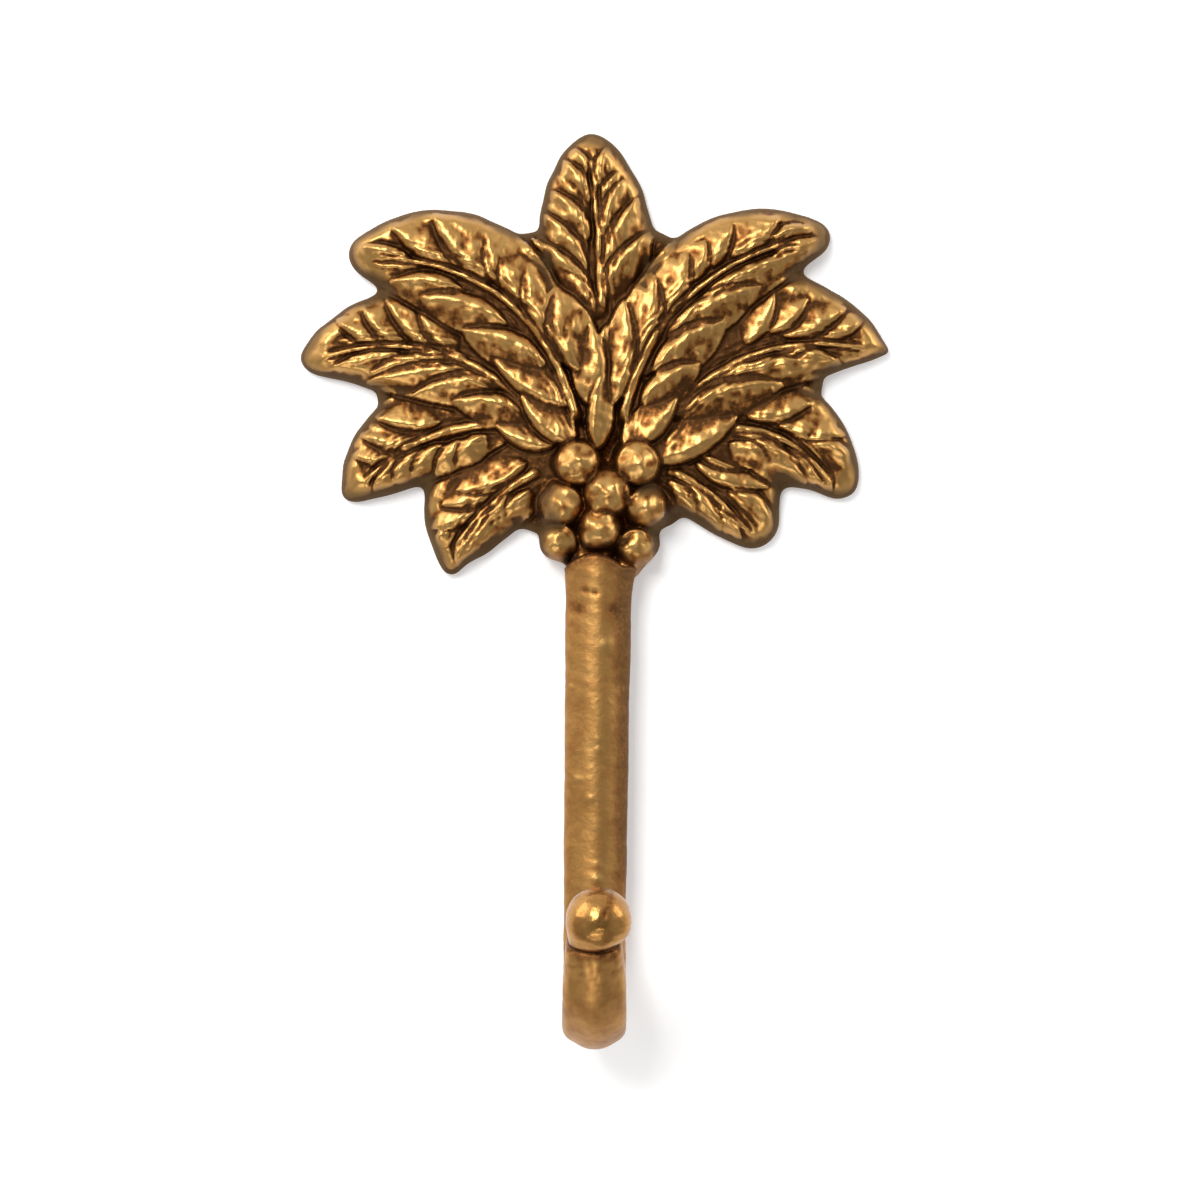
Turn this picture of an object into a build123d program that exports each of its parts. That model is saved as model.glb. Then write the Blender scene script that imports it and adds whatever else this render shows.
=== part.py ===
from build123d import *

import os
from dataclasses import dataclass
from math import cos, degrees, inf, radians, sin, sqrt, tan

# Wall hook: a palm tree cast in brass, its trunk turned up into a hook with a ball end.
#
# Millimetres. The fronds and the hook are drawn on the bench, x to the right, y up the wall and z out
# from the wall, and the finished casting is stood up at the end: +Z up, the wall at Y = 0, front to -Y.
# The origin is the mouth of the tapped hole in the back.

# Crown of fronds
BEVEL = 1.5             # bevel along the edge of every blade
RIM = 1.9               # plain rim left between the leaflets and the edge
WEB_TOP = 3.6           # backing web seen between the fronds
RIB_HALF = 0.8          # half width of a midrib
RIB_CREST = 0.95        # how far a midrib stands up from its blade
CREST = 0.42            # height of a leaflet against its width
LEAFLET_MAX = 12.5      # longest leaflet
LEAFLET_SLIM = 1.7      # shortest leaflet against its width
LEAFLET_FILL = 0.8      # width of a leaflet against the room between it and the next
FIRST_PAIR = 0.05       # where along the midrib the first pair stands
RIB_USED = 0.86         # share of the midrib that carries leaflets
SPREAD = 44             # degrees between midrib and leaflet at the root, less toward the tip
SPREAD_FALL = 16
ROOT_GAP = 1.9          # midrib's middle to the root of a leaflet
COVER_GAP = 0.4         # leaflets stop this short of a frond that lies over their own
SINK = 0.25             # how deep leaflets are let into the blade
RIB_SINK = 1.2          # how deep midribs are let in

# Heart and coconuts
HEART_RADIUS = 8.4
HEART_SIDES = 8
HEART_TOP = 9.4
HEART_AT = (0.4, -1.8)
COCONUTS = (            # x, y, radius, height of the crown above the wall
    (-2.8, 4.9, 2.9, 10.3),
    (6.4, 4.1, 2.75, 10.0),
    (1.2, -0.5, 3.05, 11.7),
    (-5.5, -1.7, 2.7, 10.9),
    (7.6, -2.3, 2.6, 10.2),
    (0.5, -5.8, 2.7, 11.2),
    (-5.8, -8.1, 2.6, 8.6),
    (6.3, -8.4, 2.75, 8.8),
)

# Trunk and hook: a six-sided bar with a ridge in front and behind and eased shoulders
BAR_WIDTH = 9.5
BAR_DEPTH = 9.8
RIDGE_SLOPE = 30        # degrees, fall of the faces either side of the ridge
SHOULDER = 1.7          # chamfer that eases the four corners beside the flat sides
AXIS_OUT = 4.4          # the bar's axis stands this far from the wall
TRUNK_TOP = -8.8
COLLAR_FOOT = -17.0
COLLAR_SPREAD = 1.22    # section of the trunk under the crown against the bar
TRUNK_SPREAD = 1.06     # section of the trunk below the collar against the bar
BEND_RADIUS = 12.0
BEND_LEVEL = -67.6      # height where the trunk turns into the bend
BEND_TURN = 150         # degrees
ARM_LENGTH = 11.2       # end of the bend to the middle of the ball
NECK = 0.86             # section at the ball against the bar
BALL_RADIUS = 4.85
BALL_SEAT = 3.6         # end of the arm to the middle of the ball

# Tapped hole for a hanger screw, M5
HOLE_RADIUS = 2.1
HOLE_DEPTH = 6.5


@dataclass
class Frond:
    """A leaf-shaped blade: two arcs from heel to tip, a bowed midrib and leaflets on both sides."""

    heel: tuple
    tip: tuple
    left: float         # bow of the edge on the left, looking from heel to tip
    right: float
    tip_radius: float   # 0 leaves the tip pointed
    root: tuple         # foot of the midrib
    rib_end: tuple
    rib_bow: float      # positive to the left
    top: float          # height of the blade above the wall
    count: int          # leaflets on each side
    over_left: str = ""     # frond that lies over this one's left side, and over its right
    over_right: str = ""


FRONDS = {
    "top": Frond(
        (0.6, 21.4), (-0.6, 55.4), 8.7, 8.3, 3.0, (0.9, 26.0), (-0.8, 51.5), -0.3, 4.6, 4,
        "upper_left", "upper_right"),
    "upper_left": Frond(
        (-5.5, 16.8), (-39.0, 35.8), 1.8, 16.1, 2.4, (-2.6, 8.9), (-35.0, 35.6), -8.4, 6.4, 6),
    "upper_right": Frond(
        (5.2, 15.6), (37.6, 39.0), 14.4, 0.9, 2.5, (3.7, 8.9), (32.6, 38.6), 6.9, 6.4, 6),
    "left": Frond(
        (-3.2, 9.2), (-46.8, 19.3), 1.2, 16.1, 2.4, (-7.3, 8.9), (-42.0, 20.3), -6.4, 5.8, 5,
        over_right="upper_left"),
    "right": Frond(
        (4.4, 9.2), (44.5, 21.2), 16.4, 1.2, 0, (9.0, 8.3), (41.8, 21.6), 5.8, 5.8, 5,
        over_left="upper_right"),
    "lower_left": Frond(
        (-8.6, 10.7), (-39.2, -2.1), 2.4, 12.7, 2.0, (-14.7, 10.1), (-35.4, 1.2), -2.4, 5.2, 4,
        over_right="left"),
    "lower_right": Frond(
        (8.3, 9.9), (39.0, -1.8), 15.6, 0.9, 2.4, (18.4, 9.2), (35.8, 0.9), 3.1, 5.2, 4,
        over_left="right"),
    "bottom_left": Frond(
        (0.6, 7.6), (-21.8, -13.0), 1.7, 14.8, 0, (-8.6, 3.1), (-21.8, -9.0), -1.2, 4.8, 4,
        over_right="lower_left"),
    "bottom_right": Frond(
        (2.1, 6.1), (25.7, -9.6), 14.2, 2.3, 2.2, (10.4, 3.4), (23.8, -7.1), 1.2, 4.8, 4,
        over_left="lower_right"),
}

# Leaflets that fill the middle below the top frond: root, tip, width
THROAT_TOP = 6.0
THROAT = ((0.4, 4.0), (0.4, 28.0), 5.0)     # heel, tip and bow of the blade they lie on
THROAT_LEAFLETS = (
    ((0.3, 8.4), (1.1, 16.0), 2.2),
    ((-0.9, 15.4), (-1.0, 23.0), 2.2),
    ((2.7, 15.6), (2.5, 23.0), 2.0),
)

WEB = (                 # outline of the backing web, all of it under the fronds or in their notches
    (-10.1, 39.0), (11.0, 38.6), (31.7, 32.4), (34.4, 15.3), (28.0, 0.0), (12.1, -4.6),
    (0.6, -10.7), (-10.4, -6.1), (-26.6, -0.5), (-33.4, 14.1), (-33.5, 30.3),
)

# Outline of a leaflet along its length and half width, and the ends of its ridge
LEAFLET_FOOT = ((0, 0), (0.3, 1), (0.64, 1), (1, 0), (0.64, -1), (0.3, -1))
LEAFLET_RIDGE = (0.2, 0.76)


def bowed(start, end, bow):
    """Arc from start to end that bows to the left of the way there."""
    chord = Vector(*end) - Vector(*start)
    left = Vector(-chord.Y, chord.X).normalized()
    middle = Vector(*start) + chord * 0.5 + left * bow
    return Edge.make_three_point_arc(Vector(*start), middle, Vector(*end))


def blade(frond):
    """One frond's plain blade from the wall to its top, rounded at the tip and bevelled."""
    outline = Face(Wire(edges(frond)))
    if frond.tip_radius:
        outline = fillet(outline.vertices().sort_by_distance(frond.tip)[0], frond.tip_radius)
    body = extrude(outline, frond.top, dir=(0, 0, 1))
    return chamfer(body.faces().sort_by(Axis.Z)[-1].edges(), BEVEL)


def midrib(frond):
    """Roof-shaped rib bent along the middle of a blade."""
    path = bowed(frond.root, frond.rib_end, frond.rib_bow)
    start = Plane(origin=path @ 0 + Vector(0, 0, frond.top), x_dir=(0, 0, 1), z_dir=path % 0)
    profile = make_face(Polyline(
        (-RIB_SINK, RIB_HALF), (0, RIB_HALF), (RIB_CREST, 0), (0, -RIB_HALF), (-RIB_SINK, -RIB_HALF),
        close=True))
    axis = Axis(path.arc_center, (0, 0, -1 if frond.rib_bow > 0 else 1))
    return revolve(start * profile, axis, degrees(path.length / path.radius))


def leaflet(root, heading, length, width, level):
    """Six-sided pad with a roof ridge, laid on a blade from its root along a heading."""
    side = Vector(-heading.Y, heading.X)

    def spot(along, across, up):
        place = root + heading * (along * length) + side * (across * width / 2)
        return Vector(place.X, place.Y, level + up)

    foot = [spot(along, across, -SINK) for along, across in LEAFLET_FOOT]
    first, last = (spot(along, 0, CREST * width) for along in LEAFLET_RIDGE)
    heel, near_left, far_left, point, far_right, near_right = foot
    facets = (
        foot,
        (heel, near_left, first), (near_left, far_left, last, first), (far_left, point, last),
        (point, far_right, last), (far_right, near_right, first, last), (near_right, heel, first),
    )
    return Solid(Shell([Face(Wire.make_polygon(facet)) for facet in facets]))


def reach(start, heading, edge):
    """Way from a point along a heading to where it first meets the circle of an edge."""
    inward = edge.arc_center - start
    along = inward.dot(heading)
    square = along ** 2 + edge.radius ** 2 - inward.dot(inward)
    ways = [along - sqrt(square), along + sqrt(square)] if square > 0 else []
    return min((way for way in ways if way > 0), default=inf)


def edges(frond):
    """Left and right edge of a blade, both from heel to tip."""
    return bowed(frond.heel, frond.tip, frond.left), bowed(frond.heel, frond.tip, -frond.right)


def leaflets(frond):
    """Leaflets in pairs along the midrib, swept toward the tip, short of whatever lies over them."""
    path = bowed(frond.root, frond.rib_end, frond.rib_bow)
    limits = [[(edge, RIM)] for edge in edges(frond)]
    for side, name in enumerate((frond.over_left, frond.over_right)):
        if name:
            limits[side] += [(edge, COVER_GAP) for edge in edges(FRONDS[name])]
    spacing = path.length * RIB_USED / frond.count
    made = []
    for number in range(frond.count):
        station = FIRST_PAIR + RIB_USED * number / frond.count
        spread = SPREAD - SPREAD_FALL * station
        width = LEAFLET_FILL * spacing * sin(radians(spread))
        for turn, limit in zip((spread, -spread), limits):
            heading = (path % station).rotate(Axis.Z, turn)
            root = path @ station + heading * ROOT_GAP
            length = min(reach(root, heading, edge) - gap for edge, gap in limit)
            if length > LEAFLET_SLIM * width:
                made.append(leaflet(root, heading, min(length, LEAFLET_MAX), width, frond.top))
    return made


def throat():
    """Plain blade in the middle below the top frond, and the leaflets on it."""
    heel, tip, bow = THROAT
    outline = Face(Wire([bowed(heel, tip, bow), bowed(tip, heel, bow)]))
    made = [extrude(outline, THROAT_TOP, dir=(0, 0, 1))]
    for root, end, width in THROAT_LEAFLETS:
        way = Vector(*end) - Vector(*root)
        made.append(leaflet(Vector(*root), way.normalized(), way.length, width, THROAT_TOP))
    return made


def coconut(x, y, radius, crown):
    """Domed peg from the wall to the crown of the nut."""
    peg = Cylinder(radius, crown - radius, align=(Align.CENTER, Align.CENTER, Align.MIN))
    return Pos(x, y, 0) * (peg + Pos(0, 0, crown - radius) * Sphere(radius))


def bar_section(scale=1.0):
    """Bar's section: a ridge in front and behind, flat sides, eased corners; x runs across the hook."""
    ridge = BAR_DEPTH / 2
    side = BAR_WIDTH / 2
    corner = ridge - side * tan(radians(RIDGE_SLOPE))
    outline = make_face(Polyline(
        (0, ridge), (side, corner), (side, -corner), (0, -ridge), (-side, -corner), (-side, corner),
        close=True))
    corners = outline.vertices().filter_by(lambda vertex: abs(vertex.X) > side / 2)
    return chamfer(corners, SHOULDER).scale(scale)


def across(level, out, lean=0):
    """Plane square to the bar where it runs up the wall, leaning out from it by an angle."""
    up = Vector(0, cos(radians(lean)), sin(radians(lean)))
    return Plane(origin=(0, level, out), x_dir=(1, 0, 0), z_dir=up)


def hook():
    """Trunk, bend, arm and ball."""
    trunk = loft([across(TRUNK_TOP, AXIS_OUT) * bar_section(COLLAR_SPREAD),
                  across(COLLAR_FOOT, AXIS_OUT) * bar_section(TRUNK_SPREAD)])
    trunk += loft([across(COLLAR_FOOT, AXIS_OUT) * bar_section(TRUNK_SPREAD),
                   across(BEND_LEVEL, AXIS_OUT) * bar_section()])
    centre = Vector(0, BEND_LEVEL, AXIS_OUT + BEND_RADIUS)
    bend = revolve(across(BEND_LEVEL, AXIS_OUT) * bar_section(),
                   Axis(centre, (-1, 0, 0)), BEND_TURN)
    lean = 180 - BEND_TURN
    end = centre + Vector(0, -sin(radians(lean)), cos(radians(lean))) * BEND_RADIUS
    up_arm = Vector(0, cos(radians(lean)), sin(radians(lean)))
    head = end + up_arm * ARM_LENGTH
    seat = head - up_arm * BALL_SEAT
    arm = loft([across(end.Y, end.Z, lean) * bar_section(),
                across(seat.Y, seat.Z, lean) * bar_section(NECK)])
    return [trunk, bend, arm, across(head.Y, head.Z, lean) * Sphere(BALL_RADIUS)]


pieces = [extrude(make_face(Polyline(*WEB, close=True)), WEB_TOP, dir=(0, 0, 1))]
heart = Pos(*HEART_AT, 0) * RegularPolygon(HEART_RADIUS, HEART_SIDES)
pieces.append(extrude(heart, HEART_TOP, dir=(0, 0, 1)))
pieces += [coconut(*nut) for nut in COCONUTS]
pieces += [blade(frond) for frond in FRONDS.values()]
casting = pieces[0].fuse(*pieces[1:], *hook())
casting = casting.fuse(*throat())
for frond in FRONDS.values():
    casting = casting.fuse(midrib(frond), *leaflets(frond))

room = casting.bounding_box().size
behind_wall = Box(3 * room.X, 3 * room.Y, room.Z, align=(Align.CENTER, Align.CENTER, Align.MAX))
hole = Cylinder(HOLE_RADIUS, HOLE_DEPTH, align=(Align.CENTER, Align.CENTER, Align.MIN))
casting = casting - behind_wall - hole
palm_hook = Rot(90, 0, 0) * casting.solid()
palm_hook.label = "palm_hook"

os.makedirs("parts", exist_ok=True)
export_step(palm_hook, "parts/palm_hook.step")
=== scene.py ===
import math
from collections import namedtuple

import bmesh
import bpy
import numpy as np
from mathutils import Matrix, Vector, geometry


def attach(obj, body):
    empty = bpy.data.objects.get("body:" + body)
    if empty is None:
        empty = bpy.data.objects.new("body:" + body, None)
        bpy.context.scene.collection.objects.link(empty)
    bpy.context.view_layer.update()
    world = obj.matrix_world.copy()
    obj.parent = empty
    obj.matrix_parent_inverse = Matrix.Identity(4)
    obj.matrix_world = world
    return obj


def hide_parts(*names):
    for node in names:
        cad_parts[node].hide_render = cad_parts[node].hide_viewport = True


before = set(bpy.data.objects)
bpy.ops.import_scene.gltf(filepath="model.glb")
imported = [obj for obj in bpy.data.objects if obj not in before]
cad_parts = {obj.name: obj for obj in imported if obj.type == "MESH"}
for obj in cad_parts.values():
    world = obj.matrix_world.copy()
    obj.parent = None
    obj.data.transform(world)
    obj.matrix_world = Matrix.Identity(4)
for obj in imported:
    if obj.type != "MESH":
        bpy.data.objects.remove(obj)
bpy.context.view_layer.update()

# Sizes are in millimetres: x to the right, y up the wall, and heights out of the wall.
MM = 0.001
Disc = namedtuple("Disc", "x y radius")

# The picture was taken square to the wall, a little below the coconuts.
EYE = (0.61, -16.8)
EYE_OUT = 700.0
FRAME_WIDTH = 183.6
FRAME_OUT = 5.0
SENSOR = 36.0
CLIP_START = 0.01

# Uneven waves: height, length and the seed of the random draws
Ripple = namedtuple("Ripple", "height length seed")
RIPPLE_WAVES = 14
RIPPLE_SPREAD = (0.7, 1.5)

# Grid of the crown's front
CELL = 0.21
SOFTEN = 0.14
BLUR_REACH = 3
BLUR_LEAST = 1e-6
CROWN_LOW = (-48.5, -17.0)
CROWN_HIGH = (46.5, 58.0)
BORDER_STEPS = 4
BORDER_NUDGE = 0.02
BORDER_STEEP = 0.2
# Step to each neighbour of a cell, down and across, and the two corners shared with it
NEIGHBOURS = ((-1, 0, 0, 1), (0, 1, 1, 2), (1, 0, 2, 3), (0, -1, 3, 0))

# Outline of the crown, and of its foot behind the trunk
NOTCH_SOFT = 2.6
NOTCH_FLOORS = (
    Disc(-9.6, 36.7, 2.8), Disc(9.4, 36.8, 2.8), Disc(-9.0, -3.7, 2.8), Disc(10.2, -2.6, 2.8),
    Disc(-31.4, 14.4, 1.6), Disc(32.6, 16.4, 1.7),
)
FLOOR_SOFT = 2.0
HEART = Disc(0.4, -1.8, 7.6)
WEB = Disc(0.5, 16.0, 18.0)
FOOT = Disc(1.1, -8.3, 8.3)
FOOT_TOP = -4.0
FOOT_INSET = 0.4
FOOT_SIDE_SOFT = 1.0
FOOT_SOFT = 2.0
FOOT_CLEAR = 0.5
FLARE_TOP = -8.0
FLARE_RIGHT = 6.4
FLARE_RIGHT_FALL = 3.8
FLARE_LEFT = 2.2
FLARE_LEFT_FALL = 2.5
FLARE_ENDS = (4.5, 7.0)
TRUNK_SOFT = 2.4
EDGE_RIPPLE = Ripple(0.12, 6.0, 2)

# Levels of the front and its rim
WEB_TOP = 3.2
THROAT_LEVEL = 5.6
THROAT_MIDDLE = 15.0
THROAT_REACH = (6.0, 10.0)
FLARE_LEVEL = 6.3
FLARE_STARTS = (6.0, 9.0)
DOME = 0.9
DOME_AT = Disc(0.3, 9.0, 19.0)
RIM = 2.2
RIM_BULGE = 1.7
RIM_FOOT = 0.14
RIM_RIPPLE = Ripple(0.35, 8.0, 5)
CARVING = (0.4, 1.2)
CAST_RIPPLES = (Ripple(0.08, 2.6, 3), Ripple(0.03, 1.1, 4))
THINNEST = 0.3

# Blades of the fronds
VALLEY = 0.7
DROOP = 0.10
SEAM_DEPTH = 0.75
SEAM_WIDTH = 0.42
EDGE_ROUND = 0.8
EDGE_BULGE = 2
EDGE_DROP = 0.45

# Leaflets, each with a long facet towards the heel and a steep edge towards the frond's tip
LEAFLET_RISE = 0.66
LEAFLET_RISE_PER_WIDTH = 0.30
LEAFLET_FULL = 1.95
LEAFLET_ROOT = 0.17
LEAFLET_TIP = 0.20
LEAFLET_END = 0.001
LEAFLET_CREST = 0.30
LEAFLET_SLOPE = 1.45
LEAFLET_BEND = 0.045
LEAFLET_STREAK = 0.02
LEAFLET_STREAK_WIDTH = 1.5
LEAFLET_STREAK_DRIFT = 3
TAPER_LEAN = 0.85
TAPER_BLUNT = 0.7
FACET_BOW = 1.25
STEEP_BOW = 2.1
STEEP_BLUNT = 0.7
SWELL_BLUNT = 0.5
CREASE = 0.55
CREASE_WIDTH = 0.4
MINOR_SINK = 0.45
MINOR_GAP = 9.0
MINOR_WIDEST = 2.05
MINOR_ANGLE = math.radians(50)

# Midribs, with a groove on both sides and streaks beside them
RIB_RISE = 0.62
RIB_RIPPLE = Ripple(0.14, 3.0, 6)
RIB_HALF = 0.85
RIB_HALF_TIP = 0.4
RIB_ENDS = 0.06
RIB_SINK = 0.3
RIB_GROOVE = 0.28
RIB_GROOVE_WIDTH = 0.28
RIB_GROOVE_OFF = 0.8
RIB_STREAK = 0.22
RIB_STREAK_WIDTH = 0.95
RIB_STREAK_REACH = 2.2
RIB_STREAK_RIPPLE = Ripple(0.25, 5.0, 7)
BROWN_REACH = 2.3

# Coconuts: place, radius and how far the crown of the nut stands out
Nut = namedtuple("Nut", "x y radius crown")
COCONUTS = (
    Nut(-2.8, 4.0, 3.15, 10.7),
    Nut(6.3, 4.0, 3.1, 10.5),
    Nut(1.7, -0.5, 3.4, 11.4),
    Nut(-5.1, -2.2, 2.9, 10.2),
    Nut(7.6, -2.6, 2.8, 9.8),
    Nut(0.5, -5.9, 3.05, 10.9),
    Nut(-5.7, -7.9, 2.65, 8.2),
    Nut(6.1, -8.6, 2.65, 8.2),
)
NUT_SKIRT = 0.25
NUT_SOFT = 1.4
NUT_FALL = 3.0
NUT_FILLET = 0.8
NUT_WOBBLE = Ripple(0.20, 4.2, 80)
NUT_DENTS = (Ripple(0.16, 3.0, 20), Ripple(0.05, 1.2, 40))
HEART_LEVEL = 9.3
HEART_FALL = 0.27
HEART_FALL_FROM = -1.0
HEART_MARGIN = 0.5
HEART_EDGE = 0.5

# Dark pits beside the trunk's top
Pit = namedtuple("Pit", "x y radius depth")
PITS = (Pit(-3.9, -10.4, 0.8, 1.8), Pit(2.8, -10.3, 0.9, 1.8))

# Heel and tip of the blade, how far its left and right edges bow out, how blunt the tip is,
# the two ends and the bow of the midrib, the height, and the leaflets: root, tip and width of each
Frond = namedtuple("Frond", "heel tip left right blunt root rib_end rib_bow top leaflets")
Leaflet = namedtuple("Leaflet", "root_x root_y tip_x tip_y width")

FRONDS = (
    Frond((0.6, 21.4), (-1.0, 56.4), 8.6, 8.8, 5.0, (0.9, 26.0), (-0.8, 51.5), -0.3, 4.9, (
        (-0.3, 27.2, -4.6, 32.4, 1.7), (-1.1, 29.7, -8.4, 37.2, 1.8), (-2.3, 34.6, -7.6, 41.3, 1.8),
        (-1.8, 39.2, -6.1, 44.8, 2.0), (-1.5, 44.7, -4.6, 49.7, 1.7), (-1.2, 47.7, -3.1, 51.7, 1.4),
        (0.5, 45.9, 1.7, 51.7, 1.7), (1.2, 43.5, 3.1, 47.9, 1.4), (1.2, 37.3, 3.7, 45.9, 2.0),
        (2.0, 33.4, 5.8, 43.0, 2.1), (1.7, 30.3, 7.6, 38.2, 2.0),
    )),
    Frond((0.6, 7.6), (-22.5, -13.2), 1.5, 15.4, 1.8, (-8.6, 3.1), (-21.8, -9.0), -1.2, 5.0, (
        (-11.9, 3.7, -20.2, 0.6, 2.1), (-15.1, 0.9, -22.3, -1.8, 2.0), (-18.4, -2.1, -24.2, -5.2, 1.8),
        (-21.1, -5.2, -24.2, -8.1, 1.5), (-13.0, -1.4, -16.4, -5.0, 2.1), (-10.3, -0.6, -13.0, -3.7, 1.7),
        (-16.1, -3.7, -18.7, -8.0, 1.8), (-18.4, -5.5, -20.7, -11.0, 1.8),
    )),
    Frond((2.1, 6.1), (25.9, -9.8), 14.3, 2.0, 4.0, (10.4, 3.4), (23.8, -7.1), 1.2, 5.0, (
        (15.8, 6.7, 22.3, 4.1, 1.8), (16.5, 3.8, 24.8, 1.1, 2.0), (21.1, -0.6, 26.3, -5.2, 2.4),
        (13.5, 0.9, 18.1, -5.7, 2.1), (11.5, 0.9, 14.5, -3.7, 1.7), (18.1, -2.9, 21.6, -7.0, 1.8),
        (23.9, -3.4, 26.9, -7.0, 1.4),
    )),
    Frond((-8.6, 10.7), (-39.2, -2.1), 2.2, 12.6, 3.8, (-14.7, 10.1), (-35.4, 1.2), -2.4, 5.4, (
        (-25.1, 10.6, -32.9, 11.5, 1.8), (-27.5, 7.5, -34.7, 8.4, 2.0), (-30.6, 5.7, -36.1, 5.4, 1.8),
        (-29.7, 4.6, -33.4, 0.5, 1.7), (-26.6, 5.7, -30.3, 1.8, 1.8), (-23.6, 6.4, -27.4, 2.8, 1.8),
        (-20.5, 7.0, -23.9, 3.1, 1.8), (-17.4, 8.0, -20.7, 4.3, 1.8),
    )),
    Frond((8.3, 9.9), (40.2, -1.9), 14.5, 1.1, 4.2, (18.4, 9.2), (35.8, 0.9), 3.1, 5.4, (
        (23.9, 11.8, 31.5, 13.2, 2.0), (28.5, 10.6, 37.0, 9.0, 1.8), (31.1, 7.8, 38.7, 4.6, 2.1),
        (22.6, 8.0, 30.8, 1.5, 2.6), (29.5, 5.5, 33.7, 1.2, 1.7), (21.0, 6.7, 25.7, 4.1, 1.8),
        (33.5, 3.4, 35.6, -0.3, 1.4),
    )),
    Frond((-3.2, 9.2), (-47.0, 19.2), 0.9, 16.8, 4.4, (-7.3, 8.9), (-42.0, 20.3), -6.4, 6.0, (
        (-22.0, 22.0, -26.2, 27.4, 2.0), (-24.5, 22.2, -30.9, 28.5, 2.1), (-29.7, 22.9, -34.7, 27.4, 2.0),
        (-32.1, 22.9, -38.7, 25.9, 1.7), (-30.3, 20.2, -38.6, 18.8, 1.7), (-21.4, 20.0, -32.4, 18.1, 2.1),
        (-19.6, 17.7, -33.0, 16.4, 1.8), (-15.9, 16.2, -26.3, 14.7, 2.1), (-10.4, 11.3, -20.2, 13.2, 2.3),
        (-7.3, 7.3, -14.1, 9.5, 2.0),
    )),
    Frond((4.4, 9.2), (45.3, 21.3), 18.2, 0.9, 0.9, (9.0, 8.3), (41.8, 21.6), 5.8, 6.0, (
        (23.3, 23.4, 26.6, 29.4, 2.0), (26.5, 24.9, 31.4, 28.6, 2.0), (29.4, 24.3, 36.9, 27.4, 2.0),
        (35.5, 24.0, 40.1, 26.2, 1.7), (28.8, 21.1, 36.9, 18.8, 1.8), (18.1, 16.4, 33.0, 19.0, 2.4),
        (14.1, 12.2, 26.3, 15.6, 2.6), (8.6, 5.4, 19.6, 10.3, 2.8),
    )),
    Frond((-5.5, 16.8), (-39.8, 35.6), 1.0, 16.7, 4.6, (-2.6, 8.9), (-35.0, 35.6), -8.4, 6.7, (
        (-2.8, 19.6, -5.2, 28.8, 3.2), (-6.1, 23.3, -9.6, 32.3, 3.1), (-9.6, 28.8, -13.5, 35.0, 2.9),
        (-12.5, 30.9, -15.9, 37.8, 2.4), (-15.0, 33.4, -23.3, 41.2, 3.4), (-21.1, 35.2, -30.0, 40.1, 2.3),
        (-28.2, 34.0, -34.9, 36.7, 1.8), (-21.6, 30.3, -30.0, 31.5, 2.3), (-15.3, 25.7, -25.4, 28.8, 2.6),
        (-9.2, 19.6, -18.7, 23.6, 2.6), (-5.2, 13.9, -14.1, 19.3, 2.4), (-4.3, 8.0, -10.4, 13.8, 2.3),
    )),
    Frond((5.2, 15.6), (38.0, 39.2), 14.7, 0.7, 4.6, (3.7, 8.9), (32.6, 38.6), 6.9, 6.7, (
        (2.9, 15.0, 4.0, 26.9, 2.3), (6.3, 21.1, 8.0, 31.5, 2.8), (9.8, 27.2, 13.2, 34.9, 2.8),
        (14.1, 32.4, 16.2, 37.3, 2.1), (16.5, 34.6, 20.0, 39.6, 2.0), (21.0, 36.7, 26.9, 41.0, 2.3),
        (26.9, 37.8, 32.1, 39.8, 1.7), (17.1, 28.8, 29.4, 35.0, 2.1), (12.5, 24.2, 23.3, 30.0, 2.8),
        (10.1, 18.8, 18.4, 24.6, 2.8), (8.0, 13.9, 14.7, 18.4, 2.4), (5.2, 7.3, 11.3, 13.3, 2.4),
        (27.8, 35.6, 34.6, 37.6, 1.7),
    )),
)
# Upright leaflets in the throat between the two upper fronds
THROAT_TOP = 6.7
THROAT = ((-0.9, 14.4, -0.9, 23.9, 2.4), (0.3, 7.6, 1.2, 16.2, 1.8), (1.2, 20.5, 1.5, 24.5, 1.2))

# Trunk, hook and ball: a six-sided bar with a soft ridge front and back
BAR_HALF = 4.75
BAR_DEPTH = 5.5
RIDGE_SLOPE = math.radians(30)
RIDGE_ROUND = 5.0
SHOULDER_ROUND = 2.3
CORNER_STEPS = 12
SIDES = 84
AXIS_OUT = 4.4
LEAN_TOP = 0.42
LEAN_FOOT = -0.25
LEAN_BALL = 0.40
SMALLEST = 0.01
SKIN_RIPPLES = (Ripple(0.06, 9.0, 60), Ripple(0.015, 2.2, 61))

# Trunk, whose top is an arched lip below the coconuts: drop and scale of the lip's rings
TRUNK_TOP = -9.6
TRUNK_SPREAD = 1.06
TRUNK_FLARE = 0.5
TRUNK_START = 0.9
TRUNK_STEP = 0.3
COLLAR_FOOT = -17.0
COLLAR_SPREAD = 1.12
LIP_RINGS = ((0.0, 0.70), (0.0, 0.86), (0.25, 0.95), (0.6, 1.0))
LIP_DROP = 1.6
LIP_HALF = 3.8
LIP_SHIFT = 0.8
LIP_MOST = 1.3
LIP_FALL = 4

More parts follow.
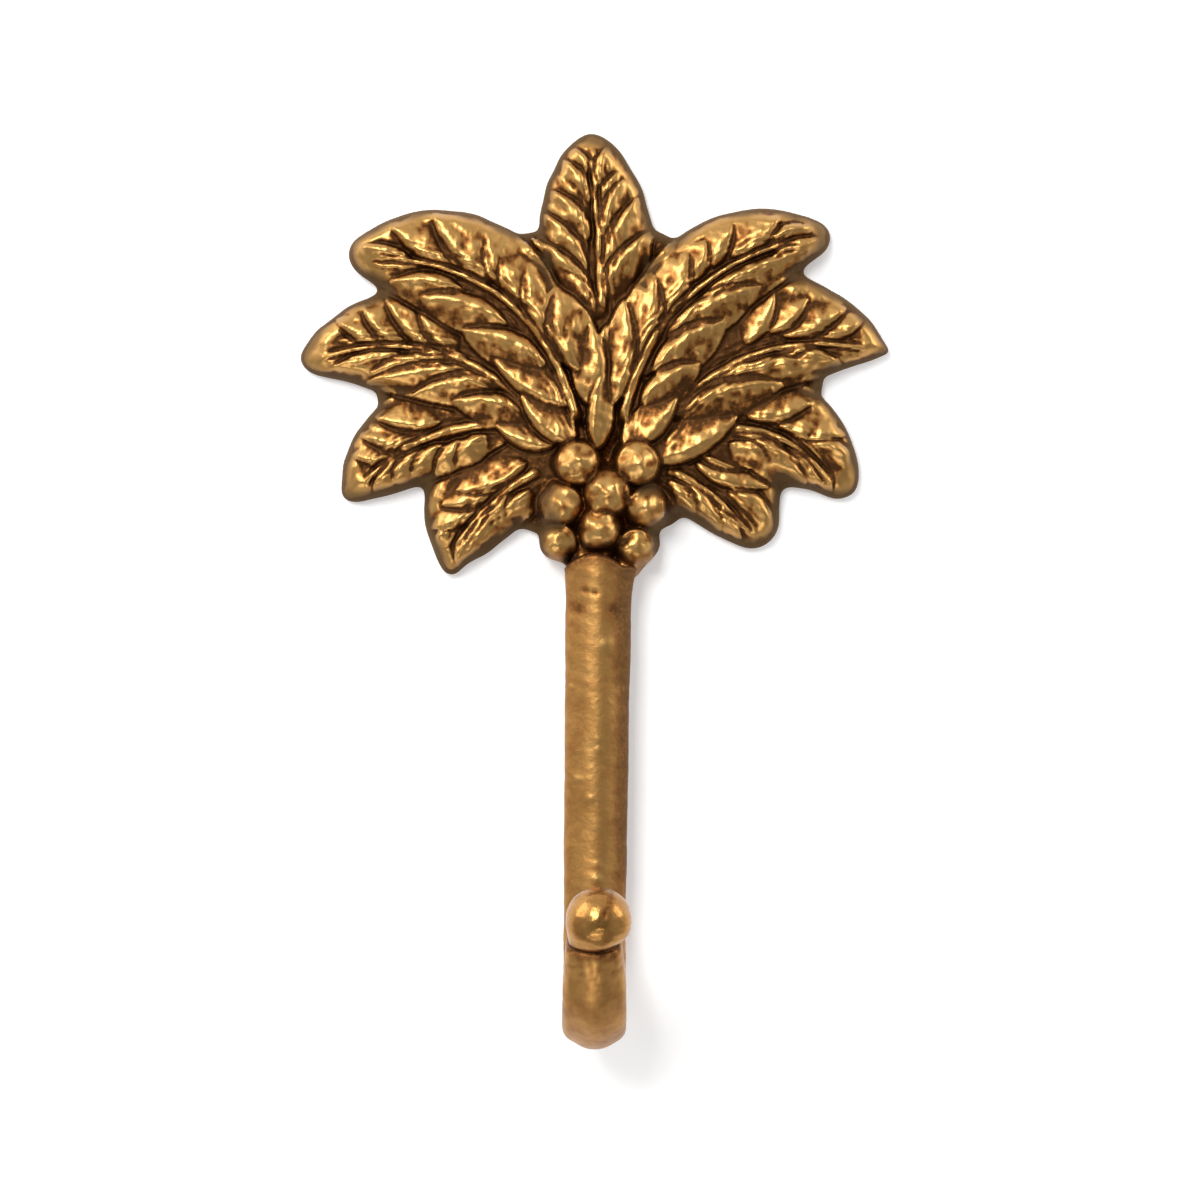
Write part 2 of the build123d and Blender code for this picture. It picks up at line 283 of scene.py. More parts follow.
# Small marks of the casting on the trunk's front: place, radius, height and how much darker
Mark = namedtuple("Mark", "x y radius rise stain")
MARKS = (
    Mark(-1.6, -15.4, 0.42, -0.25, 0.30), Mark(-0.2, -15.7, 0.42, -0.25, 0.30),
    Mark(-2.7, -17.9, 1.1, -0.08, 0.25), Mark(2.8, -18.5, 1.2, -0.08, 0.25),
    Mark(1.7, -23.5, 0.9, 0.22, -0.2), Mark(-3.7, -30.0, 0.35, 0.12, -0.1),
    Mark(0.5, -38.0, 0.5, 0.12, -0.1), Mark(0.5, -39.6, 0.5, 0.12, -0.1),
    Mark(-2.7, -44.1, 0.5, 0.18, -0.2), Mark(-0.9, -47.0, 0.5, 0.16, -0.15),
    Mark(0.2, -57.0, 0.45, 0.14, -0.1), Mark(0.2, -59.2, 0.6, 0.20, -0.2),
)

# Bend and arm
BEND_RADIUS = 12.0
BEND_LEVEL = -67.6
BEND_TURN = math.radians(150)
BEND_OUT = BEND_RADIUS + AXIS_OUT
BEND_RINGS = 92
ARM_LENGTH = 11.2
ARM_AHEAD = (math.sin(BEND_TURN), -math.cos(BEND_TURN))
ARM_INWARD = (math.cos(BEND_TURN), math.sin(BEND_TURN))
ARM_RINGS = 32
NECK = 0.86
NECK_CREASE = 0.10
NECK_CREASE_WIDTH = 0.45
NECK_RIPPLE = Ripple(1.0, 1.6, 64)
NECK_ROUGH = 0.05

# Ball, with a groove that leans across its front; lumps: x, depth, spread and height
BALL_RADIUS = 4.85
BALL_SEAT = 3.6
BALL_RIDGE = 0.3
BALL_RINGS = 44
BALL_SHIFT_END = 0.25
BALL_LUMPS = ((2.2, -2.0, 4.0, 0.40), (-3.0, -2.0, 6.0, -0.35))
BALL_RIPPLES = (Ripple(0.05, 4.0, 65), Ripple(0.02, 1.8, 66))
GROOVE = 0.24
GROOVE_AT = 0.5
GROOVE_LEAN = 0.35
GROOVE_WIDTH = 0.45
GROOVE_STARTS = (-0.5, 1.0)

# Threaded hole in the back
HOLE_RADIUS = 2.1
HOLE_DEPTH = 6.5
HOLE_RINGS = 66
HOLE_SIDES = 40
DRILL_POINT = 1.1
THREAD_PITCH = 0.8
THREAD_DEPTH = 0.3

# Flat back: filled inside its outline only, with sharp edges where it lies on the wall
FILL_INSIDE = 1
SAME_POINT = 1e-7
HOLE_SKIP = 0.98
SHARP_ANGLE = math.radians(80)
SHARP_OUT = 0.00002

# Patina of the crown, from 0 where the metal is worn bright to 1 where it is brown
FINE_BLUR = 0.5
FINE_DEPTH = 0.40
BROAD_BLUR = 1.5
BROAD_DEPTH = 1.3
PATINA = 0.61
PATINA_FINE = 1.3
PATINA_BROAD = 1.35
PATINA_RIB = 0.34
PATINA_LEAST = 0.22
PATINA_PIT = 0.5
HEART_WORN = 0.48
HEART_WORN_REACH = 9.0
NUT_TONE = (-0.6, 0.4)
NUT_STAIN = Ripple(0.22, 2.4, 9)
NUT_EDGE_STAIN = 0.38
NUT_WORN = 0.02
RIM_MATT = (0.6, 1.7)
FLARE_TONE_DOWN = (8.5, 10.5)
FLARE_TONE_ACROSS = (10.0, 12.0)
FLARE_PATINA = 0.43
FLARE_SHINE = 0.7

# Patina of the stem, and how matt it is, with painted shade on the trunk's right side and painted shadow
# with patina in the crease under the ball; the ball, below 0, is polished
STEM_PATINA = 0.40
STEM_MATT = 0.15
BALL_POLISH = -0.4
LIP_STAIN = 0.45
LIP_STAIN_FALL = 0.9
LIP_STAIN_ENDS = (2.5, 4.0)
# Painted shade: the trunk's right side is drawn darker and more matt, fading out towards the bend
PAINTED_SHADE_RISE = 14.0
PAINTED_SHADE_ACROSS = (1.6, 4.6)
PAINTED_SHADE_DARKEN = 0.17
PAINTED_SHADE_MATT = 0.50
RIDGE_WORN = 0.09
RIDGE_AT = 0.4
RIDGE_REACH = 2.2
# Patina and painted shadow in the neck's crease under the ball
NECK_PATINA_AND_SHADE = 0.35
NECK_MOTTLE = 0.10
ARM_WORN = 0.03
GROOVE_STAIN = 0.15
# Patina and painted shadow where the ball sits on the arm, and how fast it fades up the ball
SEAT_PATINA_AND_SHADE = 0.60
SEAT_PATINA_AND_SHADE_WIDTH = 0.05

# Patina and mattness of the back, the hole and its end
BACK_TONE = (0.4, 0.55)
HOLE_TONE = (0.6, 0.3)
DRILL_TONE = (1.0, 1.0)

# Metal: colours from worn to brown, noises, and ranges: low and high before, low and high after
WORN_TO_BROWN = (
    (0.30, (0.54, 0.31, 0.10, 1)),
    (0.53, (0.42, 0.215, 0.062, 1)),
    (0.68, (0.25, 0.102, 0.027, 1)),
    (0.83, (0.13, 0.049, 0.013, 1)),
    (1.0, (0.068, 0.029, 0.010, 1)),
)
BLOTCH = {"Scale": 420, "Detail": 5, "Roughness": 0.6}
BLOTCH_SHARE = 0.36
SPECK = {"Scale": 1900, "Detail": 3}
SPECK_RANGE = (0.35, 0.65, -0.30, 0.30)
SPECK_DEEP = (0.40, 1.0, 0.0, 1.0)
# The matt colour tints the rim, and is also laid on as painted shade over the trunk's right side
MATT_AND_SHADE_COLOUR = (0.15, 0.083, 0.029, 1)
MATT_AND_SHADE_SHARE = 0.85
MATT_ROUGH = 0.32
ROUGH_RANGE = (0.35, 1.0, 0.34, 0.55)
METAL_RANGE = (0.0, 1.0, 1.0, 0.75)
GRAIN = {"Scale": 1500, "Detail": 4}
GRAIN_BUMP = {"Strength": 0.55, "Distance": 0.0001}

# Stage, in metres and watts: name, place, size and power of each lamp
WALL_HALF = 1.6
WALL_BACK = 0.0006
WALL_COLOUR = (0.86, 0.86, 0.86, 1)
WALL_GLOW = 0.22
ROOM_COLOUR = (1, 1, 1, 1)
ROOM_RISE = (-0.7, 0.8, 0.40, 0.90)
ROOM_FRONT = (-0.98, -0.55, 0.35, 1.0)
LAMP_AIM = (0, 0, -0.01)
LAMPS = (
    ("key", (-0.21, -0.66, 0.27), (0.28, 0.28), 4.0),
    ("left", (-0.60, -0.20, 0.34), (0.25, 0.45), 1.8),
    ("right", (0.60, -0.20, 0.26), (0.25, 0.45), 1.5),
    ("low", (-0.10, -0.50, -0.60), (0.50, 0.30), 1.5),
)


def soft_min(a, b, reach):
    """The smaller of two depths, rounded over where they are close."""
    near = np.maximum(reach - np.abs(a - b), 0) / reach
    return np.minimum(a, b) - near * near * reach / 4


def soft_max(a, b, reach):
    return -soft_min(-a, -b, reach)


def ease(value, low, high):
    """Rises smoothly from 0 at low to 1 at high."""
    t = np.clip((value - low) / (high - low), 0, 1)
    return t * t * (3 - 2 * t)


def shoulder(t, power):
    """Rises from 0 to 1 like the side of a rounded rim."""
    t = np.clip(t, 0, 1)
    return (1 - (1 - t) ** power) ** (1 / power)


def away_from(x, y, spot):
    return np.hypot(x - spot.x, y - spot.y)


def bell(x, y, spot, reach):
    """1 at the spot, falling off over the reach."""
    return np.exp(-((x - spot.x) ** 2 + (y - spot.y) ** 2) / reach ** 2)


def ripple(x, y, wave, number=0):
    """Smooth uneven waves, mostly within their height; each number gives another set."""
    dice = np.random.default_rng(wave.seed + number)
    total = np.zeros_like(x)
    for _ in range(RIPPLE_WAVES):
        turn = dice.uniform(0, 2 * math.pi)
        phase = dice.uniform(0, 2 * math.pi)
        length = wave.length * dice.uniform(*RIPPLE_SPREAD)
        total = total + np.sin((x * math.cos(turn) + y * math.sin(turn)) * 2 * math.pi / length + phase)
    return wave.height * (total / RIPPLE_WAVES ** 0.5)


def disc_depth(x, y, start, end, bow, side):
    """Depth inside the disc whose edge runs from start to end and bows to one side."""
    chord = math.dist(start, end)
    radius = (chord ** 2 / 4 + bow ** 2) / (2 * bow)
    ux = (end[0] - start[0]) / chord
    uy = (end[1] - start[1]) / chord
    reach = side * (bow - radius)
    cx = (start[0] + end[0]) / 2 - uy * reach
    cy = (start[1] + end[1]) / 2 + ux * reach
    return radius - np.hypot(x - cx, y - cy)


def frond_depth(frond, x, y):
    """Depth inside the outline of one frond."""
    left = disc_depth(x, y, frond.heel, frond.tip, frond.left, 1)
    right = disc_depth(x, y, frond.heel, frond.tip, frond.right, -1)
    return soft_min(left, right, frond.blunt)


def foot_depth(x, y):
    """Depth inside the crown's foot, which flares out from the sides of the trunk."""
    below = np.maximum(FLARE_TOP - y, 0)
    fading = 1 - ease(below, *FLARE_ENDS)
    half = BAR_HALF - FOOT_INSET
    right = half + LEAN_TOP + FLARE_RIGHT * np.exp(-below / FLARE_RIGHT_FALL) * fading - x
    left = half - LEAN_TOP + FLARE_LEFT * np.exp(-below / FLARE_LEFT_FALL) * fading + x
    sides = soft_min(left, right, FOOT_SIDE_SOFT)
    rounded = soft_min(sides, FOOT.radius - away_from(x, y, FOOT), FOOT_SOFT)
    return np.minimum(rounded, FOOT_TOP - y)


def outline_depth(x, y):
    """Depth inside the outline of the whole crown."""
    depth = frond_depth(FRONDS[0], x, y)
    for frond in FRONDS[1:]:
        depth = soft_max(depth, frond_depth(frond, x, y), NOTCH_SOFT)
    for nut in COCONUTS:
        depth = soft_max(depth, nut.radius + NUT_SKIRT - away_from(x, y, nut), NUT_SOFT)
    for disc in (HEART, WEB):
        depth = np.maximum(depth, disc.radius - away_from(x, y, disc))
    for disc in NOTCH_FLOORS:
        depth = soft_max(depth, disc.radius - away_from(x, y, disc), FLOOR_SOFT)
    return soft_max(depth, foot_depth(x, y), TRUNK_SOFT) + ripple(x, y, EDGE_RIPPLE)


def rib_place(frond, x, y):
    """How far along a frond's bowed midrib each point lies, and how far from it."""
    chord = math.dist(frond.root, frond.rib_end)
    ux = (frond.rib_end[0] - frond.root[0]) / chord
    uy = (frond.rib_end[1] - frond.root[1]) / chord
    along = ((x - frond.root[0]) * ux + (y - frond.root[1]) * uy) / chord
    across = (y - frond.root[1]) * ux - (x - frond.root[0]) * uy
    lean = 4 * frond.rib_bow * (1 - 2 * along) / chord
    away = np.abs(across - 4 * frond.rib_bow * along * (1 - along)) / np.sqrt(1 + lean ** 2)
    return along, away


def leaflet_swell(x, y, leaflet, side):
    """Swelling of one leaflet, 1 on its crest, and the crease along its steep edge."""
    root_x, root_y, tip_x, tip_y, width = leaflet
    length = math.hypot(tip_x - root_x, tip_y - root_y)
    ux = (tip_x - root_x) / length
    uy = (tip_y - root_y) / length
    along = ((x - root_x) * ux + (y - root_y) * uy) / length
    along = (along + LEAFLET_ROOT) / (1 + LEAFLET_ROOT + LEAFLET_TIP)
    inner = np.clip(along, LEAFLET_END, 1 - LEAFLET_END)
    across = side * ((y - root_y) * ux - (x - root_x) * uy)
    across = across + LEAFLET_BEND * length * 4 * inner * (1 - inner)
    taper = np.sin(math.pi * inner ** TAPER_LEAN) ** TAPER_BLUNT
    half = LEAFLET_FULL * width / 2 * taper
    behind = across / half + LEAFLET_CREST
    facet = 1 - np.clip(behind / (LEAFLET_SLOPE + LEAFLET_CREST), 0, 1) ** FACET_BOW
    steep = (1 - np.clip(-behind / (1 - LEAFLET_CREST), 0, 1) ** STEEP_BOW) ** STEEP_BLUNT
    phase = across * 2 * math.pi / LEAFLET_STREAK_WIDTH + LEAFLET_STREAK_DRIFT * inner + root_x
    streak = 1 + LEAFLET_STREAK * np.cos(phase)
    swell = np.minimum(facet, steep) * taper ** SWELL_BLUNT * streak
    inside = (along > 0) & (along < 1)
    gap = -across - half
    crease = np.exp(-(gap / CREASE_WIDTH) ** 2) * taper
    return np.where(inside, swell, 0), np.where(inside & (gap > 0), crease, 0)


def minor_leaflets(leaflets):
    """A slighter leaflet between each two narrow neighbours that lie side by side."""
    found = []
    for one, two in zip(leaflets, leaflets[1:]):
        first = Vector((one.tip_x - one.root_x, one.tip_y - one.root_y))
        second = Vector((two.tip_x - two.root_x, two.tip_y - two.root_y))
        narrow = max(one.width, two.width) < MINOR_WIDEST
        near = math.dist(one[:2], two[:2]) < MINOR_GAP
        if narrow and near and first.angle(second) < MINOR_ANGLE:
            found.append(Leaflet(*((p + q) / 2 for p, q in zip(one, two))))
    return found


def carve_leaflets(height, x, y, level, rows, ahead):
    """Lays leaflets like shingles, from the frond's tip to its heel."""
    leaflets = [Leaflet(*row) for row in rows]
    layers = [(leaflet, MINOR_SINK) for leaflet in minor_leaflets(leaflets)]
    leaflets.sort(key=lambda leaflet: -leaflet.root_x * ahead[0] - leaflet.root_y * ahead[1])
    layers += [(leaflet, 0) for leaflet in leaflets]
    for leaflet, sink in layers:
        turn = ahead[0] * (leaflet.tip_y - leaflet.root_y) - ahead[1] * (leaflet.tip_x - leaflet.root_x)
        swell, crease = leaflet_swell(x, y, leaflet, math.copysign(1, turn))
        rise = LEAFLET_RISE + LEAFLET_RISE_PER_WIDTH * leaflet.width
        raised = level - VALLEY - sink + rise * swell
        height = np.where(swell > 0, np.maximum(height, raised), height - CREASE * crease)
    return height


def carve_frond(height, smooth, brown, frond, x, y, dome):
    """Lays one frond over what is there: blade, leaflets and midrib, with brown beside the midrib."""
    depth = frond_depth(frond, x, y)
    span = math.dist(frond.heel, frond.tip)
    ahead = (frond.tip[0] - frond.heel[0], frond.tip[1] - frond.heel[1])
    along = ((x - frond.heel[0]) * ahead[0] + (y - frond.heel[1]) * ahead[1]) / span ** 2
    level = frond.top * (1 - DROOP * np.clip(along, 0, 1) ** 2) + dome
    seam = SEAM_DEPTH * np.exp(-(depth / SEAM_WIDTH) ** 2)
    blade = level - VALLEY - EDGE_DROP * (1 - shoulder(depth / EDGE_ROUND, EDGE_BULGE))
    height = np.where(depth > 0, blade, height - seam)
    smooth = np.where(depth > 0, level - VALLEY, smooth)
    height = carve_leaflets(height, x, y, level, frond.leaflets, ahead)

    along, away = rib_place(frond, x, y)
    half = RIB_HALF + (RIB_HALF_TIP - RIB_HALF) * np.clip(along, 0, 1)
    inside = ease(along, 0, RIB_ENDS) * (1 - ease(along, 1 - RIB_ENDS, 1.0))
    groove = np.exp(-((away - half - RIB_GROOVE_WIDTH * RIB_GROOVE_OFF) / RIB_GROOVE_WIDTH) ** 2)
    height = height - RIB_GROOVE * groove * inside
    phase = (away + ripple(x, y, RIB_STREAK_RIPPLE)) * 2 * math.pi / RIB_STREAK_WIDTH
    streak = np.cos(phase) * np.exp(-(away / RIB_STREAK_REACH) ** 2)
    height = height + RIB_STREAK * streak * inside
    rise = RIB_RISE * (1 + ripple(x, y, RIB_RIPPLE))
    ridge = level - VALLEY + rise * np.sqrt(np.clip(1 - (away / half) ** 2, 0, 1))
    ribbed = height + (np.maximum(ridge, height - RIB_SINK) - height) * inside
    height = np.where(away < half, ribbed, height)
    beside = np.exp(-((away - half) / BROWN_REACH) ** 2) * inside
    brown = np.where(depth > 0, np.where(away > half, beside, 0), brown)
    return height, smooth, brown


def raise_nuts(height, x, y):
    """Sets the dented coconuts into the front."""
    for number, nut in enumerate(COCONUTS):
        away = np.maximum(away_from(x, y, nut) + ripple(x, y, NUT_WOBBLE, number), 0)
        dent = sum(ripple(x, y, wave, number) for wave in NUT_DENTS)
        ball = nut.crown - nut.radius + np.sqrt(np.maximum(nut.radius ** 2 - away ** 2, 0)) + dent
        ball = ball - NUT_FALL * np.maximum(away - nut.radius, 0)
        height = soft_max(height, ball, NUT_FILLET)
    return height


def crown_height(x, y, depth):
    """Height of the carved front over the wall, and where the midribs keep it brown."""
    dome = DOME * np.exp(-(away_from(x, y, DOME_AT) / DOME_AT.radius) ** 2)
    throat = np.exp(-(x / THROAT_REACH[0]) ** 2 - ((y - THROAT_MIDDLE) / THROAT_REACH[1]) ** 2)
    height = WEB_TOP + (THROAT_LEVEL - WEB_TOP) * throat
    height = height + (FLARE_LEVEL - height) * ease(-y, *FLARE_STARTS)
    smooth = height.copy()
    brown = np.zeros_like(x)
    for frond in FRONDS:
        height, smooth, brown = carve_frond(height, smooth, brown, frond, x, y, dome)
    height = carve_leaflets(height, x, y, THROAT_TOP + dome, THROAT, (0, 1))
    carved = ease(depth + ripple(x, y, RIM_RIPPLE), *CARVING)
    height = smooth + (height - smooth) * carved

    cluster = np.full_like(x, -np.inf)
    for nut in COCONUTS:
        cluster = np.maximum(cluster, nut.radius + HEART_MARGIN - away_from(x, y, nut))
    heart = ease(cluster, 0, HEART_EDGE)
    filled = HEART_LEVEL + HEART_FALL * np.minimum(y - HEART_FALL_FROM, 0)
    height = height + (filled - height) * heart
    height = height * (RIM_FOOT + (1 - RIM_FOOT) * shoulder(depth / RIM, RIM_BULGE))
    for wave in CAST_RIPPLES:
        height = height + ripple(x, y, wave)
    for pit in PITS:
        height = height - pit.depth * bell(x, y, pit, pit.radius)
    height = raise_nuts(height, x, y)
    return np.maximum(height, THINNEST), brown * (1 - heart)


def blurred(values, weight, size):
    """Average of the values around each grid point, over the inside only."""
    reach = int(BLUR_REACH * size / CELL)
    steps = np.arange(-reach, reach + 1)
    shares = np.exp(-(steps * CELL / size) ** 2 / 2)
    both = []
    for layer in (values * weight, weight):
        for axis in (0, 1):
            total = np.zeros_like(layer)
            for step, share in zip(steps, shares):
                total = total + share * np.roll(layer, step, axis)
            layer = total
        both.append(layer)
    return both[0] / np.maximum(both[1], BLUR_LEAST)


def crown_wear(x, y, depth, out, brown, weight):
    """Patina at each point of the front, and how matt it is."""
    fine = (blurred(out, weight, FINE_BLUR) - out) / FINE_DEPTH
    broad = (blurred(out, weight, BROAD_BLUR) - out) / BROAD_DEPTH
    patina_and_shade = PATINA + PATINA_FINE * fine + PATINA_BROAD * broad + PATINA_RIB * brown
    patina_and_shade = np.clip(patina_and_shade, PATINA_LEAST, 1)
    patina_and_shade = np.minimum(patina_and_shade, 1 - HEART_WORN * bell(x, y, HEART, HEART_WORN_REACH))
    nuts = np.zeros_like(x)
    edge = np.ones_like(x)
    for nut in COCONUTS:
        away = away_from(x, y, nut)
        nuts = np.maximum(nuts, 1 - ease(away, nut.radius + NUT_TONE[0], nut.radius + NUT_TONE[1]))
        edge = np.minimum(edge, away / nut.radius)
    patina_and_shade = patina_and_shade + nuts * (ripple(x, y, NUT_STAIN) + NUT_EDGE_STAIN * edge ** 4 - NUT_WORN)
    flare = ease(-y, *FLARE_TONE_DOWN) * (1 - ease(np.abs(x), *FLARE_TONE_ACROSS))
    patina_and_shade = patina_and_shade + (FLARE_PATINA - patina_and_shade) * flare
    for pit in PITS:
        patina_and_shade = patina_and_shade + PATINA_PIT * bell(x, y, pit, pit.radius)
    matt_and_shade = 1 - ease(depth + ripple(x, y, RIM_RIPPLE), *RIM_MATT)
    return np.clip(patina_and_shade, 0, 1), matt_and_shade * (1 - FLARE_SHINE * flare)


def to_world(x, y, out):
    return np.stack((x, -out, y), axis=-1) * MM


class Skin:
    """Points, with the patina and the mattness at each of them, which on the stem also carry painted shade,
    and the faces between them.
    """

    def __init__(self):
        self.points = []
        self.patina_and_shade = []
        self.matt_and_shade = []
        self.faces = []
        self.count = 0

    def add(self, points, patina_and_shade, matt_and_shade):
        """Takes points in, and gives the number of the first."""
        first = self.count
        self.points.append(points)
        self.patina_and_shade.append(np.broadcast_to(patina_and_shade, len(points)))
        self.matt_and_shade.append(np.broadcast_to(matt_and_shade, len(points)))
        self.count += len(points)
        return first

    def join_rings(self, first, rings, sides):
        """Faces between rings that follow each other."""
        for ring in range(rings - 1):
            for side in range(sides):
                a = first + ring * sides + side
                b = first + ring * sides + (side + 1) % sides
                self.faces.append((a, b, b + sides, a + sides))


def make_mesh(name, skin):
    """Smooth-shaded piece, sharp only where its sides meet the flat back."""
    mesh = bpy.data.meshes.new(name)
    mesh.from_pydata(np.concatenate(skin.points).tolist(), [], skin.faces)
    mesh.validate()
    for label, values in (("patina_and_shade", skin.patina_and_shade), ("matt_and_shade", skin.matt_and_shade)):
        layer = mesh.attributes.new(label, "FLOAT", "POINT")
        layer.data.foreach_set("value", np.concatenate(values).astype(np.float32))
    shell = bmesh.new()
    shell.from_mesh(mesh)
    bmesh.ops.recalc_face_normals(shell, faces=shell.faces)
    for face in shell.faces:
        face.smooth = True
    for edge in shell.edges:
        if len(edge.link_faces) == 2 and edge.calc_face_angle() > SHARP_ANGLE:
            if all(abs(v.co.y) < SHARP_OUT for v in edge.verts):
                edge.smooth = False
    shell.to_mesh(mesh)
    shell.free()
    piece = bpy.data.objects.new(name, mesh)
    bpy.context.scene.collection.objects.link(piece)
    return piece


def crown_grid():
    """Square grid with its border moved onto the outline, and the cells and corners in use."""
    xs = np.arange(CROWN_LOW[0], CROWN_HIGH[0], CELL)
    ys = np.arange(CROWN_LOW[1], CROWN_HIGH[1], CELL)
    x, y = np.meshgrid(xs, ys)
    kept = outline_depth(x[:-1, :-1] + CELL / 2, y[:-1, :-1] + CELL / 2) > 0
    around = np.zeros(x.shape, int)
    for down in (0, 1):
        for across in (0, 1):
            around[down:down + kept.shape[0], across:across + kept.shape[1]] += kept
    used = around > 0
    border = used & (around < 4)
    for _ in range(BORDER_STEPS):
        bx, by = x[border], y[border]
        depth = outline_depth(bx, by)
        slope_x = (outline_depth(bx + BORDER_NUDGE, by) - depth) / BORDER_NUDGE
        slope_y = (outline_depth(bx, by + BORDER_NUDGE) - depth) / BORDER_NUDGE
        steep = np.maximum(slope_x ** 2 + slope_y ** 2, BORDER_STEEP)
        x[border] = bx - depth * slope_x / steep
        y[border] = by - depth * slope_y / steep
    return x, y, kept, used


def add_hole(skin, turns):
    """Threaded hole: rings whose radius follows the thread, closed by a drill point."""
    first = skin.count
    for level in np.linspace(0, HOLE_DEPTH, HOLE_RINGS):
        phase = (level / THREAD_PITCH - turns / (2 * math.pi)) % 1
        bite = THREAD_DEPTH * (1 - np.abs(2 * phase - 1)) * (0 < level < HOLE_DEPTH)
        radius = HOLE_RADIUS + bite
        ring = to_world(radius * np.cos(turns), radius * np.sin(turns), np.full(HOLE_SIDES, level))
        skin.add(ring, *HOLE_TONE)
    skin.join_rings(first, HOLE_RINGS, HOLE_SIDES)
    last = skin.count - HOLE_SIDES
    point = to_world(np.zeros(1), np.zeros(1), np.full(1, HOLE_DEPTH + DRILL_POINT))
    drill = skin.add(point, *DRILL_TONE)
    for side in range(HOLE_SIDES):
        skin.faces.append((last + side, last + (side + 1) % HOLE_SIDES, drill))


def close_crown(skin, rim, x, y):
    """Sides straight back to the wall, the hole, and the flat back between the outline and the hole."""
    corners = list(dict.fromkeys(corner for edge in rim for corner in edge))
    place = {corner: number for number, corner in enumerate(corners)}
    first = skin.add(to_world(x[corners], y[corners], np.zeros(len(corners))), *BACK_TONE)
    for a, b in rim:
        skin.faces.append((b, a, first + place[a], first + place[b]))
    turns = np.linspace(0, 2 * math.pi, HOLE_SIDES, endpoint=False)
    add_hole(skin, turns)

    flat = [Vector(pair) for pair in zip(x[corners], y[corners])]
    flat += [Vector((HOLE_RADIUS * math.cos(t), HOLE_RADIUS * math.sin(t))) for t in turns]
    edges = [(place[a], place[b]) for a, b in rim]
    edges += [(len(corners) + s, len(corners) + (s + 1) % HOLE_SIDES) for s in range(HOLE_SIDES)]
    filled = geometry.delaunay_2d_cdt(flat, edges, [], FILL_INSIDE, SAME_POINT)
    placed, faces, origin = filled[0], filled[2], filled[3]
    for face in faces:
        centre = sum((placed[i] for i in face), Vector((0, 0))) / len(face)
        if centre.length > HOLE_RADIUS * HOLE_SKIP:
            skin.faces.append([first + origin[i][0] for i in reversed(face)])


def make_crown():
    """Carved front on a square grid whose border lies on the outline, with sides, back and hole."""
    x, y, kept, used = crown_grid()
    depth = outline_depth(x, y)
    out, brown = crown_height(x, y, depth)
    weight = used.astype(float)
    out = blurred(out, weight, SOFTEN)
    patina_and_shade, matt_and_shade = crown_wear(x, y, depth, out, brown, weight)

    skin = Skin()
    skin.add(to_world(x[used], y[used], out[used]), patina_and_shade[used], matt_and_shade[used])
    number = np.full(x.shape, -1)
    number[used] = np.arange(skin.count)
    rows, columns = np.nonzero(kept)
    corners = [number[rows, columns], number[rows, columns + 1],
               number[rows + 1, columns + 1], number[rows + 1, columns]]
    skin.faces += np.stack(corners, axis=-1).tolist()

    padded = np.pad(kept, 1)
    rim = []
    for step_y, step_x, first, second in NEIGHBOURS:
        bare = ~padded[rows + 1 + step_y, columns + 1 + step_x]
        rim += zip(corners[first][bare].tolist(), corners[second][bare].tolist())
    close_crown(skin, rim, x[used], y[used])
    return make_mesh("palm_crown", skin)


def rounded_section():
    """The bar's six-sided section with rounded corners, as evenly spaced points from its front ridge on."""
    level = BAR_DEPTH - BAR_HALF * math.tan(RIDGE_SLOPE)
    corners = [(0, BAR_DEPTH, RIDGE_ROUND), (BAR_HALF, level, SHOULDER_ROUND),
               (BAR_HALF, -level, SHOULDER_ROUND), (0, -BAR_DEPTH, RIDGE_ROUND),
               (-BAR_HALF, -level, SHOULDER_ROUND), (-BAR_HALF, level, SHOULDER_ROUND)]
    trail = []
    for i, (cx, cy, radius) in enumerate(corners):
        here = Vector((cx, cy))
        back = (Vector(corners[i - 1][:2]) - here).normalized()
        ahead = (Vector(corners[(i + 1) % len(corners)][:2]) - here).normalized()
        reach = radius / math.tan(back.angle(ahead) / 2)
        a = here + back * reach
        b = here + ahead * reach
        for step in range(CORNER_STEPS + 1):
            t = step / CORNER_STEPS
            trail.append(a * (1 - t) ** 2 + here * 2 * t * (1 - t) + b * t ** 2)
    trail = np.array([tuple(p) for p in trail])
    trail = np.roll(trail, -(CORNER_STEPS // 2), axis=0)
    closed = np.vstack((trail, trail[:1]))
    run = np.concatenate(([0], np.cumsum(np.hypot(*np.diff(closed, axis=0).T))))
    wanted = np.linspace(0, run[-1], SIDES, endpoint=False)
    return np.interp(wanted, run, closed[:, 0]), np.interp(wanted, run, closed[:, 1])


def skin_wear(x, run):
    """Slight unevenness of the cast skin along the trunk, the bend and the arm."""
    return sum(ripple(x, run, wave) for wave in SKIN_RIPPLES)


def worn(x, out, wear, scale=1):
    """A ring scaled, and moved out from its middle by the wear."""
    grow = scale + wear / np.maximum(np.hypot(x, out), SMALLEST)
    return x * grow, out * grow


